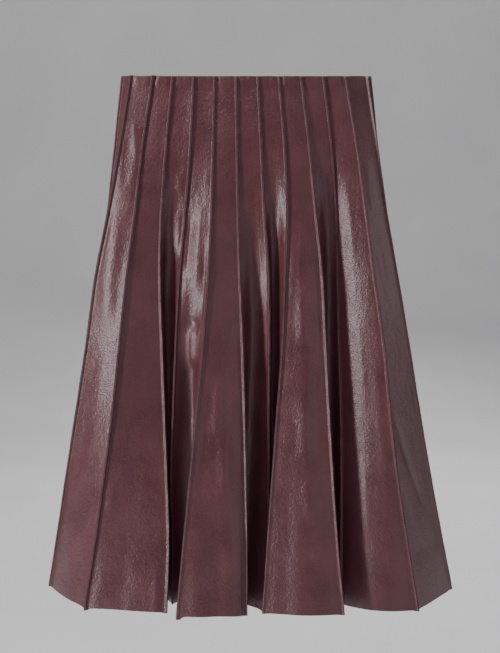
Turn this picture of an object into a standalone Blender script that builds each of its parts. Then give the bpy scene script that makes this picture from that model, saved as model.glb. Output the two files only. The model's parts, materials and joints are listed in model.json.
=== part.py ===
"""Flared leather skirt of 26 gores, joined by raised, pinched seams, with an invisible zip at the back.

Metres, +Z up. The front faces -Y and the wearer's left is +X. The origin is the middle of the waist opening,
level with the top edge, and the skirt hangs down from it. It keeps the hollow shape of being worn: at each
height every gore spans between two seams along a line of its cut width, which lies nearly flat, crowns
outwards or dips inwards as a fold. Going round, the seams count from the wearer's right front (seam 0) across
the front, round the wearer's left side and the back, and home: seen from above, that is anticlockwise.
"""

import math

import bmesh
import bpy
import numpy as np
from mathutils import Matrix, Vector

MM = 0.001

# ---------------------------------------------------------------- driving sizes, in metres
LENGTH = 0.684  # waist edge to hem, straight down
LEATHER = 0.0015  # wall thickness
SEAM_GAP = 0.0003  # clearance between two pieces at a seam
LIP = 0.0032  # how far a pinched seam stands out
TAB_FOOT = 0.5  # how much of a lip's extra length its foot shares
FLAT_EASE = 0.001  # what a gore that lies flat has over the distance between its seams, as a share of it
FOLD_RAMP = 0.3  # share of the length over which a folded gore takes up its full cut width
SINK_START = 0.12  # height, as a share of the length, where the folds behind start to sink
SINK_POWER = 1.25
SPREAD_POWER = 1.9  # how late the seams behind draw together into folds
SEAM_UPRIGHT = 0.15  # how much a seam's direction follows the form's rather than its two panels'

# ---------------------------------------------------------------- the worn form (mm)
# An oval at five even heights: waist, hip, thigh, knee and hem
HALF_WIDTH = (159.0, 178.0, 203.0, 232.0, 267.0)
MIDDLE = (0.0, 0.0, 2.0, 4.0, 6.0)
FRONT_DEPTH = (46.0, 78.0, 106.0, 129.0, 146.0)
BACK_DEPTH = (46.0, 76.0, 110.0, 138.0, 160.0)
SQUARENESS = (4.0, 4.0, 3.3, 2.8, 2.4)  # exponent of its outline

# Cut width of a folded gore, from waist to hem at nine even heights (mm)
CUT_WIDTH = (28.6, 32.6, 37.0, 44.5, 55.0, 68.0, 83.0, 98.5, 114.0)

# Seams across the front, one a row, from waist to hem at nine even heights: sideways places (mm)
SEAMS_ACROSS = (
    (-147, -160, -175, -192, -204, -218, -233, -248, -264),
    (-119, -132, -142, -153, -162, -171, -182, -194, -208),
    (-94, -102, -109, -112, -110, -107, -104, -102, -105),
    (-67, -71, -77, -84, -89, -93, -96, -95, -96),
    (-40, -42, -44, -48, -54, -62, -70, -78, -86),
    (-13, -12, -11, -9, -6, -4, -3, -2, -2),
    (15, 19, 23, 28, 29, 28, 28, 27, 21),
    (42, 49, 53, 51, 48, 42, 36, 30, 24),
    (70, 80, 88, 96, 100, 104, 109, 115, 123),
    (99, 109, 116, 119, 121, 124, 125, 125, 125),
    (127, 141, 153, 164, 176, 184, 194, 207, 221),
    (154, 166, 178, 193, 208, 223, 239, 256, 274),
)
# Their depths at the same heights (mm)
SEAMS_DEPTH = (
    (-37, -51, -63, -68, -70, -63, -50, -30, 0),
    (-42, -56, -72, -86, -95, -100, -103, -104, -105),
    (-45, -59, -69, -76, -84, -93, -102, -112, -124),
    (-46, -62, -67, -75, -85, -89, -90, -89, -86),
    (-46, -64, -79, -92, -105, -118, -130, -139, -144),
    (-46, -64, -75, -84, -95, -107, -119, -130, -138),
    (-46, -63, -72, -78, -84, -90, -97, -105, -112),
    (-46, -63, -77, -87, -96, -104, -112, -120, -128),
    (-46, -62, -76, -86, -96, -106, -116, -126, -136),
    (-45, -57, -62, -66, -71, -77, -82, -86, -88),
    (-42, -59, -75, -88, -98, -105, -110, -112, -112),
    (-34, -46, -56, -61, -59, -52, -42, -29, -14),
)
# How far the lips of each stand above the waist edge and hang below the hem (mm)
SEAM_ENDS = (
    # rise, drop
    (1.2, 0.0),
    (1.2, 3.0),
    (0.0, 0.8),
    (0.0, 0.0),
    (0.0, 4.6),
    (0.0, 0.6),
    (0.0, 1.5),
    (0.0, 0.8),
    (0.0, 1.0),
    (0.0, 0.0),
    (0.0, 1.4),
    (0.0, 0.5),
)

# How each front gore takes up its spare width: OUT crowns and IN folds inwards. Lean turns the crest of the
# bend from straight out or in towards the next seam (degrees), at the waist and at the hem. Softness is the
# share of the width that the bend takes. A gore with a start has its full cut width from just below it (as a
# share of the length). The others are wider than the distance between their seams, by an ease at the five
# heights (per cent).
IN, OUT = 1, -1
FRONT_GORES = (
    # side, lean, softness, start, ease
    (OUT, (0, 0), 1.0, None, (0.1, 0.8, 0.5, 0.3, 0.5)),
    (OUT, (0, 0), 1.0, None, (0.1, 0.2, 0.2, 0.3, 0.6)),
    (IN, (-35, -10), 0.5, 0.12, None),
    (IN, (-15, 8), 0.5, 0.36, None),
    (OUT, (10, 30), 0.9, None, (0.1, 0.2, 0.3, 1.2, 3.0)),
    (IN, (25, -40), 0.5, 0.16, None),
    (IN, (-25, 12), 0.45, 0.12, None),
    (OUT, (0, 12), 0.9, None, (0.1, 0.3, 0.8, 2.0, 3.0)),
    (IN, (25, -10), 0.45, 0.12, None),
    (OUT, (10, 20), 1.0, None, (0.1, 0.8, 1.6, 3.0, 8.0)),
    (OUT, (0, 0), 1.0, None, (0.1, 0.2, 0.2, 0.3, 0.5)),
)

# Folds round the sides and back, each of two gores that sink between crowned ones. At the hem: how wide its
# mouth is and how far its middle seam sinks (mm), how much its two gores lean (degrees), their softness, and
# how much of the form's girth the crowned gore after it covers (mm).
HIDDEN_FOLDS = (
    # mouth, sink, first lean, second lean, softness, crown
    (38, 58, -8, 6, 0.50, 102),
    (34, 48, -14, 10, 0.55, 98),
    (44, 68, -6, 12, 0.45, 104),
    (36, 54, -12, 4, 0.55, 100),
    (42, 62, -4, 10, 0.50, 122),
)
HIDDEN_START = 0.15  # start, as in the front's gores
HIDDEN_CROWN = (OUT, 0, 1.0)

GORES = len(SEAM_ENDS) + 3 * len(HIDDEN_FOLDS) - 1
FRONT_COUNT = len(FRONT_GORES)
SIDE_COUNT = 2

# ---------------------------------------------------------------- fineness of the lofts
HEIGHTS = 16  # steps from waist to hem
HEIGHT_POWER = 1.25  # they are closer together near the waist, where the folds start
BEND_STEPS = 96  # steps that a panel's line is worked out in
INNER_POINTS = 5  # points that are kept between its ends
TURN_SHARE = 0.55  # how strongly those points gather where the line bends
OVAL_STEPS = 720

# ---------------------------------------------------------------- the zip, in the seam at the centre back
ZIP_SEAM = 18
ZIP_LENGTH = 0.205
ZIP_LIP = 0.0009  # height of the seam's lips where the zip runs
ZIP_GAP = 0.0018  # the seam's opening there
ZIP_FADE = 0.016  # length over which the plain seam takes over below it
TAPE_TOP = 0.004  # the tapes start this far below the waist edge
TAPE_WIDTH = 0.012
TAPE_THICK = 0.001
TAPE_EDGE = 0.0030  # the tapes start this far from the seam
TAPE_ROOM = 0.0004  # clearance between a tape and its gore
TAPE_POINTS = 5
SLIDER_DROP = 0.0125  # middle of the slider below the waist edge
SLIDER_LENGTH = 0.009
SLIDER_BODY_WIDTH = 0.0042
SLIDER_BODY_THICK = 0.0026
SLIDER_ROOM = 0.0008  # clearance between the slider's body and the gores beside it
SLIDER_NECK = 0.0010
SLIDER_NECK_LENGTH = 0.0056
SLIDER_BEVEL = 0.00015
OVERLAP = 0.0003  # how far joined boxes run into one another
SLIDER_RAIL_WIDTH = 0.0036
SLIDER_RAIL_THICK = 0.0011
SLIDER_RAIL_LENGTH = 0.0062
BAIL_BAR = 0.0012
BAIL_WIDTH = 0.0014
BAIL_ROOM = 0.0022  # clear space inside the bail, both outwards and along the seam
BAIL_HEIGHT = BAIL_ROOM + 2 * BAIL_BAR
PULL_THICK = 0.0012
PULL_EYE_SIDE = 0.0004  # clearance on each side of the bail
PULL_ARM = 0.0011
PULL_LENGTH = 0.0165
PULL_WIDTH = 0.0058
PULL_SHOULDER = 0.0052  # from the hinge to where the pull's arms end
PULL_CLEAR = 0.0003
PULL_BEVEL = 0.00018


# ---------------------------------------------------------------- small helpers
def at_height(levels, share):
    """The value at a height, on a smooth curve through the values at even levels."""
    last = len(levels) - 1
    place = share * last
    i = min(last - 1, int(place))
    u = place - i
    start, end = levels[i], levels[i + 1]
    start_slope = (levels[i + 1] - levels[max(i - 1, 0)]) / (2 if i else 1)
    end_slope = (levels[min(i + 2, last)] - levels[i]) / (2 if i < last - 1 else 1)
    return (
        (2 * u**3 - 3 * u**2 + 1) * start
        + (u**3 - 2 * u**2 + u) * start_slope
        + (3 * u**2 - 2 * u**3) * end
        + (u**3 - u**2) * end_slope
    )


def rotated(vector, degrees):
    c, s = math.cos(math.radians(degrees)), math.sin(math.radians(degrees))
    return np.array((c * vector[0] - s * vector[1], s * vector[0] + c * vector[1]))


def unit(vector):
    return vector / np.hypot(*vector)


def fading_in(share):
    return share * share * (3 - 2 * share)


# ---------------------------------------------------------------- the worn form and the seams on it
def oval(share):
    """The form's outline at a height, anticlockwise from the wearer's left."""
    half_width = at_height(HALF_WIDTH, share) * MM
    front = at_height(FRONT_DEPTH, share) * MM
    back = at_height(BACK_DEPTH, share) * MM
    power = 2 / at_height(SQUARENESS, share)
    angle = np.linspace(0, 2 * math.pi, OVAL_STEPS, endpoint=False)
    c, s = np.cos(angle), np.sin(angle)
    x = at_height(MIDDLE, share) * MM + half_width * np.sign(c) * abs(c) ** power
    y = np.where(s > 0, back, front) * np.sign(s) * abs(s) ** power
    return np.stack((x, y), 1)


def hidden_seams(share, first, last):
    """Seams from the last front one, round the back, to the first: even at the waist, in folds at the hem."""
    outline = oval(share)
    start = int(np.argmin(np.hypot(*(outline - first).T)))
    end = int(np.argmin(np.hypot(*(outline - last).T)))
    if start > end:
        start -= len(outline)
    path = outline[np.arange(start, end + 1) % len(outline)]
    path[0], path[-1] = first, last
    run = np.concatenate(([0], np.cumsum(np.hypot(*np.diff(path, axis=0).T))))
    at_hem = np.array([span for fold in HIDDEN_FOLDS for span in (fold[0] / 2, fold[0] / 2, fold[5])])
    drawn = share**SPREAD_POWER
    spans = (1 - drawn) + drawn * at_hem / at_hem.mean()
    places = np.cumsum(spans / spans.sum() * run[-1])[:-1]

    def on_path(distance):
        return np.stack((np.interp(distance, run, path[:, 0]), np.interp(distance, run, path[:, 1])), 1)

    seams = on_path(places)
    along = on_path(places + 2 * MM) - on_path(places - 2 * MM)
    inwards = np.stack((-along[:, 1], along[:, 0]), 1) / np.hypot(*along.T)[:, None]
    sunk = max(0.0, (share - SINK_START) / (1 - SINK_START)) ** SINK_POWER
    for i, fold in enumerate(HIDDEN_FOLDS):
        seams[3 * i] += inwards[3 * i] * fold[1] * MM * sunk
    return seams


def seam_points(share):
    front = [(at_height(x, share), at_height(y, share)) for x, y in zip(SEAMS_ACROSS, SEAMS_DEPTH)]
    front = np.array(front) * MM
    return np.vstack((front, hidden_seams(share, front[-1], front[0])))


def form_normals(points, share):
    """Outward directions of the form at the seams, on a plain ellipse of its width and depth."""
    half_width = at_height(HALF_WIDTH, share) * MM
    middle = at_height(MIDDLE, share) * MM
    front, back = at_height(FRONT_DEPTH, share) * MM, at_height(BACK_DEPTH, share) * MM
    depth = np.where(points[:, 1] > 0, back, front)
    normals = np.stack(((points[:, 0] - middle) / half_width**2, points[:, 1] / depth**2), 1)
    return normals / np.hypot(*normals.T)[:, None]


def gore_bend(gore, share):
    """(side, lean, softness) of a gore at a height."""
    if gore < FRONT_COUNT:
        side, (upper, lower), softness, _, _ = FRONT_GORES[gore]
        return side, upper + (lower - upper) * share, softness
    fold, place = divmod(gore - FRONT_COUNT, 3)
    _, _, first_lean, second_lean, softness, _ = HIDDEN_FOLDS[fold]
    return ((IN, first_lean, softness), (IN, second_lean, softness), HIDDEN_CROWN)[place]


def gore_width(gore, share, chord):
    """Cut width of a gore at a height where its seams are a chord apart."""
    start, ease = FRONT_GORES[gore][3:] if gore < FRONT_COUNT else (HIDDEN_START, None)
    if ease:
        return chord * (1 + at_height(ease, share) / 100)
    flat = chord * (1 + FLAT_EASE)
    full = max(at_height(CUT_WIDTH, share) * MM, flat)
    return flat + (full - flat) * fading_in(min(1.0, max(0.0, (share - start) / FOLD_RAMP)))


# ---------------------------------------------------------------- a panel's line between two seams
STEP = (np.arange(BEND_STEPS) + 0.5) / BEND_STEPS


def bend_profile(middle, softness):
    """How much of its whole turn the line has made, from one end to the other."""
    x = np.clip((STEP - middle) / softness + 0.5, 0, 1)
    return 0.5 * x + 0.5 * fading_in(x)


def bent_line(profile, turn):
    heading = turn * profile
    steps = np.stack((np.cos(heading), np.sin(heading)), 1) / BEND_STEPS
    return np.vstack(((0.0, 0.0), np.cumsum(steps, axis=0)))


def bend_middle(chord, width, towards):
    """Where along the width the line bends, so that its crest lies in a direction from the chord's middle."""
    across, out = towards[0], max(towards[1], 0.25)
    across, out = across / math.hypot(across, out), out / math.hypot(across, out)
    long_half, short_half = width / 2, math.sqrt(width**2 - chord**2) / 2
    reach = long_half * short_half / math.hypot(short_half * across, long_half * out)
    first_leg = math.hypot(reach * across + chord / 2, reach * out)
    most = 0.40 * chord / width
    return 0.5 + max(-most, min(most, first_leg / width - 0.5))


def panel_line(start, end, width, normal, bend):
    """A line of a given length between two points, that bends once to the side the bend says."""
    side, lean, softness = bend
    across = end - start
    chord = np.hypot(*across)
    if width <= chord * 1.0003:
        return start + np.linspace(0, 1, BEND_STEPS + 1)[:, None] * across, np.zeros(BEND_STEPS)
    ahead = across / chord
    left = np.array((-ahead[1], ahead[0]))
    crest = rotated(-normal * side, -lean * side)
    middle = bend_middle(chord, width, (crest @ ahead, (crest @ left) * side)) if softness < 1 else 0.5
    profile = bend_profile(middle, min(softness, 2 * min(middle, 1 - middle)))
    turns = np.linspace(0, 1.5 * math.pi, 31)
    low, high = turns[-2], turns[-1]
    for before, after in zip(turns, turns[1:]):
        if np.hypot(*bent_line(profile, after)[-1]) * width < chord:
            low, high = before, after
            break
    for _ in range(30):
        turn = (low + high) / 2
        if np.hypot(*bent_line(profile, turn)[-1]) * width > chord:
            low = turn
        else:
            high = turn
    line = bent_line(profile, low) * width
    reach = line[-1]
    back = np.array(((reach[0], reach[1]), (-reach[1], reach[0]))) / np.hypot(*reach)
    line = (line @ back.T) * (chord / np.hypot(*reach), -side)
    return start + line[:, :1] * ahead + line[:, 1:] * left, profile * low


def kept_points(line, heading, count):
    """Points of a line at even steps of a mix of length and turning."""
    measure = STEP + TURN_SHARE * heading / math.pi
    measure = np.concatenate(([0.0], (measure - measure[0]) / (measure[-1] - measure[0])))
    wanted = np.linspace(0, 1, count + 2)
    return np.stack((np.interp(wanted, measure, line[:, 0]), np.interp(wanted, measure, line[:, 1])), 1)


# ---------------------------------------------------------------- sections of the whole skirt
def half_opening(seam, share):
    """From the seam's plane to the middle of the wall beside it."""
    return (seam_gap(seam, share) + LEATHER) / 2


def zip_share(seam, share):
    """1 where the zip runs, 0 elsewhere."""
    if seam != ZIP_SEAM:
        return 0.0
    below = (share * LENGTH - ZIP_LENGTH) / ZIP_FADE
    return 1 - fading_in(min(1.0, max(0.0, below)))


def seam_gap(seam, share):
    return SEAM_GAP + (ZIP_GAP - SEAM_GAP) * zip_share(seam, share)


def lip_height(seam, share):
    return LIP + (ZIP_LIP - LIP) * zip_share(seam, share)


class Section:
    """The plan of the skirt at one height: its seams, and the middle line of each gore's wall."""

    def __init__(self, share):
        self.share = share
        self.points = seam_points(share)
        self.normals = form_normals(self.points, share)
        self.chords = np.hypot(*(np.roll(self.points, -1, axis=0) - self.points).T)
        self.ways = self.seam_ways()

    def panel(self, gore, start, end, less=0.0):
        """The line of a gore between two points, and its heading, for its cut width less an amount."""
        facing = unit(self.normals[gore] + self.normals[(gore + 1) % GORES])
        width = gore_width(gore, self.share, self.chords[gore]) - less
        return panel_line(start, end, width, facing, gore_bend(gore, self.share))

    def seam_ways(self):
        """The way each pinched seam stands out: half-way between the outward sides of its two panels."""
        ends = zip(self.points, np.roll(self.points, -1, axis=0))
        lines = [self.panel(gore, start, end)[0] for gore, (start, end) in enumerate(ends)]
        ways = []
        for seam in range(GORES):
            leaving = unit(lines[seam][2] - lines[seam][0])
            arriving = unit(lines[seam - 1][-1] - lines[seam - 1][-3])
            panels = rotated(leaving, -90) + rotated(arriving, -90)
            ways.append(unit(panels + SEAM_UPRIGHT * self.normals[seam]))
        return np.array(ways)

    def edge(self, seam, side):
        """The foot of a gore's lip, on the gore's side of the seam (+1 after it, -1 before it)."""
        beside = rotated(self.ways[seam], 90)
        return self.points[seam] + side * beside * half_opening(seam, self.share)

    def line(self, gore):
        start, end = self.edge(gore, 1), self.edge((gore + 1) % GORES, -1)
        return self.panel(gore, start, end, LEATHER + SEAM_GAP)

    def wall(self, gore, count=INNER_POINTS):
        """Lip, panel and lip of a gore, as the points of its wall's middle line."""
        after = (gore + 1) % GORES
        panel = kept_points(*self.line(gore), count)
        first = panel[0] + self.ways[gore] * (lip_height(gore, self.share) + LEATHER / 2)
        last = panel[-1] + self.ways[after] * (lip_height(after, self.share) + LEATHER / 2)
        return np.vstack((first, panel, last))


def mitred_normals(line):
    """Right-hand normals at a line's points, lengthened so that an offset stays even round corners."""
    edges = np.diff(line, axis=0)
    edges /= np.hypot(*edges.T)[:, None]
    sides = np.stack((edges[:, 1], -edges[:, 0]), 1)
    before, after = np.vstack((sides[:1], sides)), np.vstack((sides, sides[-1:]))
    total = before + after
    length = np.hypot(*total.T)
    return total / length[:, None] * np.minimum(2 / length, 1.7)[:, None]


# ---------------------------------------------------------------- meshes, materials and objects
def new_material(name, colour, roughness, metallic=0.0):
    material = bpy.data.materials.new(name)
    material.use_nodes = True
    shader = material.node_tree.nodes["Principled BSDF"]
    shader.inputs["Base Color"].default_value = (*colour, 1.0)
    shader.inputs["Roughness"].default_value = roughness
    shader.inputs["Metallic"].default_value = metallic
    material.diffuse_color = (*colour, 1.0)
    return material


def new_object(name, mesh, material, collection, sharp_degrees=35):
    mesh.materials.append(material)
    mesh.shade_smooth()
    mesh.set_sharp_from_angle(angle=math.radians(sharp_degrees))
    piece = bpy.data.objects.new(name, mesh)
    collection.objects.link(piece)
    return piece


def loft(name, rings):
    """A closed body through rings of equally many points, capped as strips between its two long sides.

    Each ring runs along the outer side of a wall and back along its inner side. The diagonals start at the
    wall's two edges, so that the facing sides of two walls that meet there are cut alike.
    """
    count = len(rings[0])
    half = count // 2
    vertices = [tuple(point) for ring in rings for point in ring]
    from_edge = [min(i, count - 1 - i, abs(half - 1 - i), abs(half - i)) for i in range(count)]
    faces = []
    for row in range(len(rings) - 1):
        for i in range(count):
            j = (i + 1) % count
            here, there, below, beside = (
                row * count + i,
                row * count + j,
                (row + 1) * count + i,
                (row + 1) * count + j,
            )
            if from_edge[i] <= from_edge[j]:
                faces += [(here, below, beside), (here, beside, there)]
            else:
                faces += [(here, below, there), (below, beside, there)]
    last = (len(rings) - 1) * count
    for i in range(half - 1):
        faces.append((i, i + 1, count - 2 - i, count - 1 - i))
        faces.append((last + i, last + count - 1 - i, last + count - 2 - i, last + i + 1))
    mesh = bpy.data.meshes.new(name)
    mesh.from_pydata(vertices, [], faces)
    mesh.validate()
    tidy_normals(mesh)
    return mesh


def tidy_normals(mesh):
    shape = bmesh.new()
    shape.from_mesh(mesh)
    bmesh.ops.recalc_face_normals(shape, faces=shape.faces)
    if shape.calc_volume(signed=True) < 0:
        bmesh.ops.reverse_faces(shape, faces=shape.faces)
    shape.to_mesh(mesh)
    shape.free()


def wall_ring(line, height, outer, inner, edge_shift=0.0):
    """The ring of a wall round its middle line, outer side first. The lips may be shifted in height."""
    normals = mitred_normals(line)
    heights = np.full(len(line), height)
    heights[[0, 1, -2, -1]] += edge_shift if np.ndim(edge_shift) == 0 else np.array(edge_shift)
    outside, inside = line + normals * outer, line - normals * inner
    ring = [(x, y, z) for (x, y), z in zip(outside, heights)]
    return ring + [(x, y, z) for (x, y), z in zip(inside[::-1], heights[::-1])]


def lip_shift(gore, share):
    """How far the two lips of a gore stand above the waist edge, or hang below the hem."""
    if 0 < share < 1:
        return 0.0
    shift = []
    for seam in (gore, (gore + 1) % GORES):
        rise, drop = SEAM_ENDS[seam] if seam < len(SEAM_ENDS) else (0.0, 0.0)
        shift.append((rise if share == 0 else -drop) * MM)
    return (shift[0], shift[0] * TAB_FOOT, shift[1] * TAB_FOOT, shift[1])


def gore_name(gore):
    if gore < FRONT_COUNT:
        return f"front_gore_{gore + 1:02d}"
    gore -= FRONT_COUNT
    if gore < SIDE_COUNT:
        return f"left_gore_{gore + 1:02d}"
    gore -= SIDE_COUNT
    if gore < FRONT_COUNT:
        return f"back_gore_{gore + 1:02d}"
    return f"right_gore_{gore - FRONT_COUNT + 1:02d}"


def make_gore(gore, sections, collection):
    rings = []
    for section in sections:
        shift = lip_shift(gore, section.share)
        rings.append(wall_ring(section.wall(gore), -section.share * LENGTH, LEATHER / 2, LEATHER / 2, shift))
    name = gore_name(gore)
    leather = new_material(name + "_leather", (0.075, 0.022, 0.027), 0.36)
    return new_object(name, loft(name, rings), leather, collection)


# ---------------------------------------------------------------- the zip
def panel_at(gore, height, sections):
    """The middle line of a gore's panel at a height, straight between the sections above and below it."""
    heights = [section.share * LENGTH for section in sections]
    row = max(i for i, level in enumerate(heights[:-1]) if level <= height)
    part = (height - heights[row]) / (heights[row + 1] - heights[row])
    above, below = sections[row].wall(gore)[1:-1], sections[row + 1].wall(gore)[1:-1]
    return above + (below - above) * part


def make_tape(name, gore, from_end, sections, collection):
    """A zip tape on the inside of a gore, along its first edge or, from its end, along its last."""
    inner_face = LEATHER / 2 + TAPE_ROOM
    levels = [section.share * LENGTH for section in sections]
    levels = [TAPE_TOP] + [level for level in levels if TAPE_TOP < level < ZIP_LENGTH] + [ZIP_LENGTH]
    rings = []
    for height in levels:
        line = panel_at(gore, height, sections)
        if from_end:
            line = line[::-1]
        run = np.concatenate(([0], np.cumsum(np.hypot(*np.diff(line, axis=0).T))))
        places = np.linspace(TAPE_EDGE, TAPE_WIDTH, TAPE_POINTS)
        strip = np.stack((np.interp(places, run, line[:, 0]), np.interp(places, run, line[:, 1])), 1)
        if from_end:
            strip = strip[::-1]
        normals = mitred_normals(strip)
        near, far = strip - normals * inner_face, strip - normals * (inner_face + TAPE_THICK)
        rings.append([(x, y, -height) for x, y in near] + [(x, y, -height) for x, y in far[::-1]])
    cloth = new_material(name + "_cloth", (0.05, 0.015, 0.02), 0.8)
    return new_object(name, loft(name, rings), cloth, collection)


def zip_frame(drop):
    """Place and directions on the zip's seam: +X outwards, +Y along the girth, +Z up along the seam."""
    here, above, below = (Section((drop + step) / LENGTH) for step in (0, -0.004, 0.004))
    rise = Vector((*(above.points[ZIP_SEAM] - below.points[ZIP_SEAM]), 0.008)).normalized()
    out = Vector((*here.ways[ZIP_SEAM], 0.0))
    out = (out - out.project(rise)).normalized()
    girth = rise.cross(out)
    place = Vector((*here.points[ZIP_SEAM], -drop))
    return Matrix((out, girth, rise)).transposed().to_4x4(), place


def box_between(shape, low, high):
    centre = [(a + b) / 2 for a, b in zip(low, high)]
    size = [b - a for a, b in zip(low, high)]
    bmesh.ops.create_cube(shape, size=1.0, matrix=Matrix.Translation(centre) @ Matrix.Diagonal((*size, 1.0)))


def joined_boxes(name, boxes, bevel):
    """One body of boxes that overlap, with slightly rounded edges."""
    pieces = []
    for i, (low, high) in enumerate(boxes):
        shape = bmesh.new()
        box_between(shape, low, high)
        mesh = bpy.data.meshes.new(f"{name}_{i}")
        shape.to_mesh(mesh)
        shape.free()
        piece = bpy.data.objects.new(mesh.name, mesh)
        bpy.context.scene.collection.objects.link(piece)
        pieces.append(piece)
    body = pieces[0]
    for other in pieces[1:]:
        union = body.modifiers.new("join", "BOOLEAN")
        union.operation = "UNION"
        union.object = other
    rounding = body.modifiers.new("round", "BEVEL")
    rounding.width = bevel
    rounding.segments = 1
    rounding.limit_method = "ANGLE"
    graph = bpy.context.evaluated_depsgraph_get()
    mesh = bpy.data.meshes.new_from_object(body.evaluated_get(graph))
    for piece in pieces:
        bpy.data.objects.remove(piece)
    mesh.name = name
    return mesh


# Distances outwards from the zip's seam, in the zip's own frame
RAIL_IN = ZIP_LIP + LEATHER / 2 + 2 * SEAM_GAP
RAIL_OUT = RAIL_IN + SLIDER_RAIL_THICK
BODY_OUT = -(LEATHER / 2 + SLIDER_ROOM)
HINGE_OUT = RAIL_OUT + BAIL_ROOM / 2
# The pull hangs in until it lies on the end of the rail
PULL_LEAN = math.atan((BAIL_ROOM / 2 - PULL_THICK / 2 - PULL_CLEAR) / (SLIDER_RAIL_LENGTH / 2))
# Its eye clears the bail's corners as it turns
EYE_REACH = math.hypot(BAIL_ROOM / 2 + BAIL_BAR, BAIL_ROOM / 2 + BAIL_BAR) + PULL_CLEAR


def make_slider(collection):
    """The closed zip's slider: a body inside, and outside a neck, a rail and the bail that holds the pull."""
    bail_out = RAIL_OUT + BAIL_ROOM
    boxes = []
    for near, far, width, bottom, top in (
        (BODY_OUT - SLIDER_BODY_THICK, BODY_OUT, SLIDER_BODY_WIDTH, -SLIDER_LENGTH / 2, SLIDER_LENGTH / 2),
        (BODY_OUT - OVERLAP, RAIL_IN + OVERLAP, SLIDER_NECK, -SLIDER_NECK_LENGTH / 2, SLIDER_NECK_LENGTH / 2),
        (RAIL_IN, RAIL_OUT, SLIDER_RAIL_WIDTH, -SLIDER_RAIL_LENGTH / 2, SLIDER_RAIL_LENGTH / 2),
        (bail_out, bail_out + BAIL_BAR, BAIL_WIDTH, -BAIL_HEIGHT / 2, BAIL_HEIGHT / 2),
        (RAIL_OUT - OVERLAP, bail_out + OVERLAP, BAIL_WIDTH, -BAIL_HEIGHT / 2, BAIL_BAR - BAIL_HEIGHT / 2),
        (RAIL_OUT - OVERLAP, bail_out + OVERLAP, BAIL_WIDTH, BAIL_HEIGHT / 2 - BAIL_BAR, BAIL_HEIGHT / 2),
    ):
        boxes.append(((near, -width / 2, bottom), (far, width / 2, top)))
    mesh = joined_boxes("zip_slider", boxes, SLIDER_BEVEL)
    frame, place = zip_frame(SLIDER_DROP)
    mesh.transform(Matrix.Translation(place) @ frame)
    metal = new_material("zip_slider_metal", (0.55, 0.52, 0.52), 0.3, 1.0)
    return new_object("zip_slider", mesh, metal, collection)


def pull_outline():
    """The pull tab's outline below its eye: shoulders, then a drop that widens and ends round."""
    radius = PULL_WIDTH / 2
    shoulder = PULL_EYE_SIDE + BAIL_WIDTH / 2 + PULL_ARM
    centre = -PULL_LENGTH + radius
    points = [(-shoulder, PULL_THICK / 2), (-shoulder, -PULL_SHOULDER)]
    for step in range(9):
        angle = math.radians(200 + 140 * step / 8)
        points.append((radius * math.cos(angle), centre + radius * math.sin(angle)))
    points += [(shoulder, -PULL_SHOULDER), (shoulder, PULL_THICK / 2)]
    eye = PULL_EYE_SIDE + BAIL_WIDTH / 2
    return points, ((-eye, eye), (-EYE_REACH, -PULL_THICK / 2))


def make_pull(collection):
    """The pull tab: its origin and its top bar are on the hinge, and it hangs down the seam."""
    points, ((left, right), (bottom, top)) = pull_outline()
    shape = bmesh.new()
    front = [shape.verts.new((PULL_THICK / 2, y, z)) for y, z in points]
    face = shape.faces.new(front)
    made = bmesh.ops.extrude_face_region(shape, geom=[face])
    moved = [item for item in made["geom"] if isinstance(item, bmesh.types.BMVert)]
    bmesh.ops.translate(shape, verts=moved, vec=(-PULL_THICK, 0, 0))
    mesh = bpy.data.meshes.new("zip_pull")
    shape.to_mesh(mesh)
    shape.free()
    tidy_normals(mesh)
    plate = bpy.data.objects.new("zip_pull_plate", mesh)
    cutter_shape = bmesh.new()
    box_between(cutter_shape, (-0.002, left, bottom), (0.002, right, top))
    cutter_mesh = bpy.data.meshes.new("zip_pull_eye")
    cutter_shape.to_mesh(cutter_mesh)
    cutter_shape.free()
    cutter = bpy.data.objects.new("zip_pull_eye", cutter_mesh)
    for piece in (plate, cutter):
        bpy.context.scene.collection.objects.link(piece)
    cut = plate.modifiers.new("eye", "BOOLEAN")
    cut.operation = "DIFFERENCE"
    cut.object = cutter
    rounding = plate.modifiers.new("round", "BEVEL")
    rounding.width = PULL_BEVEL
    rounding.segments = 1
    rounding.limit_method = "ANGLE"
    rounding.angle_limit = math.radians(50)
    graph = bpy.context.evaluated_depsgraph_get()
    cut_mesh = bpy.data.meshes.new_from_object(plate.evaluated_get(graph))
    for piece in (plate, cutter):
        bpy.data.objects.remove(piece)
    frame, place = zip_frame(SLIDER_DROP)
    metal = new_material("zip_pull_metal", (0.55, 0.52, 0.52), 0.28, 1.0)
    pull = new_object("zip_pull", cut_mesh, metal, collection)
    hinge = Matrix.Translation(place) @ frame @ Matrix.Translation((HINGE_OUT, 0, 0))
    pull.matrix_world = hinge @ Matrix.Rotation(PULL_LEAN, 4, "Y")
    return pull


# ---------------------------------------------------------------- the object
def main():
    for old in list(bpy.data.objects):
        bpy.data.objects.remove(old)
    collection = bpy.data.collections.new("leather_skirt")
    bpy.context.scene.collection.children.link(collection)
    sections = [Section((row / HEIGHTS) ** HEIGHT_POWER) for row in range(HEIGHTS + 1)]
    for gore in range(GORES):
        make_gore(gore, sections, collection)
    make_tape("zip_tape_left", ZIP_SEAM - 1, True, sections, collection)
    make_tape("zip_tape_right", ZIP_SEAM, False, sections, collection)
    make_slider(collection)
    make_pull(collection)


main()
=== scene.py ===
"""The looks of the leather skirt: leather gores with rolled seams and creases, stitching and a hidden zip.

Metres, +Z up, in the frame of the solids: the front faces -Y, the wearer's left is +X, and the waist edge is
at height 0. The gores follow the same sections as the solids that they replace, in much closer steps.
"""

import json
import math

import bpy
import numpy as np
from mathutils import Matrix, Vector, noise

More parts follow.
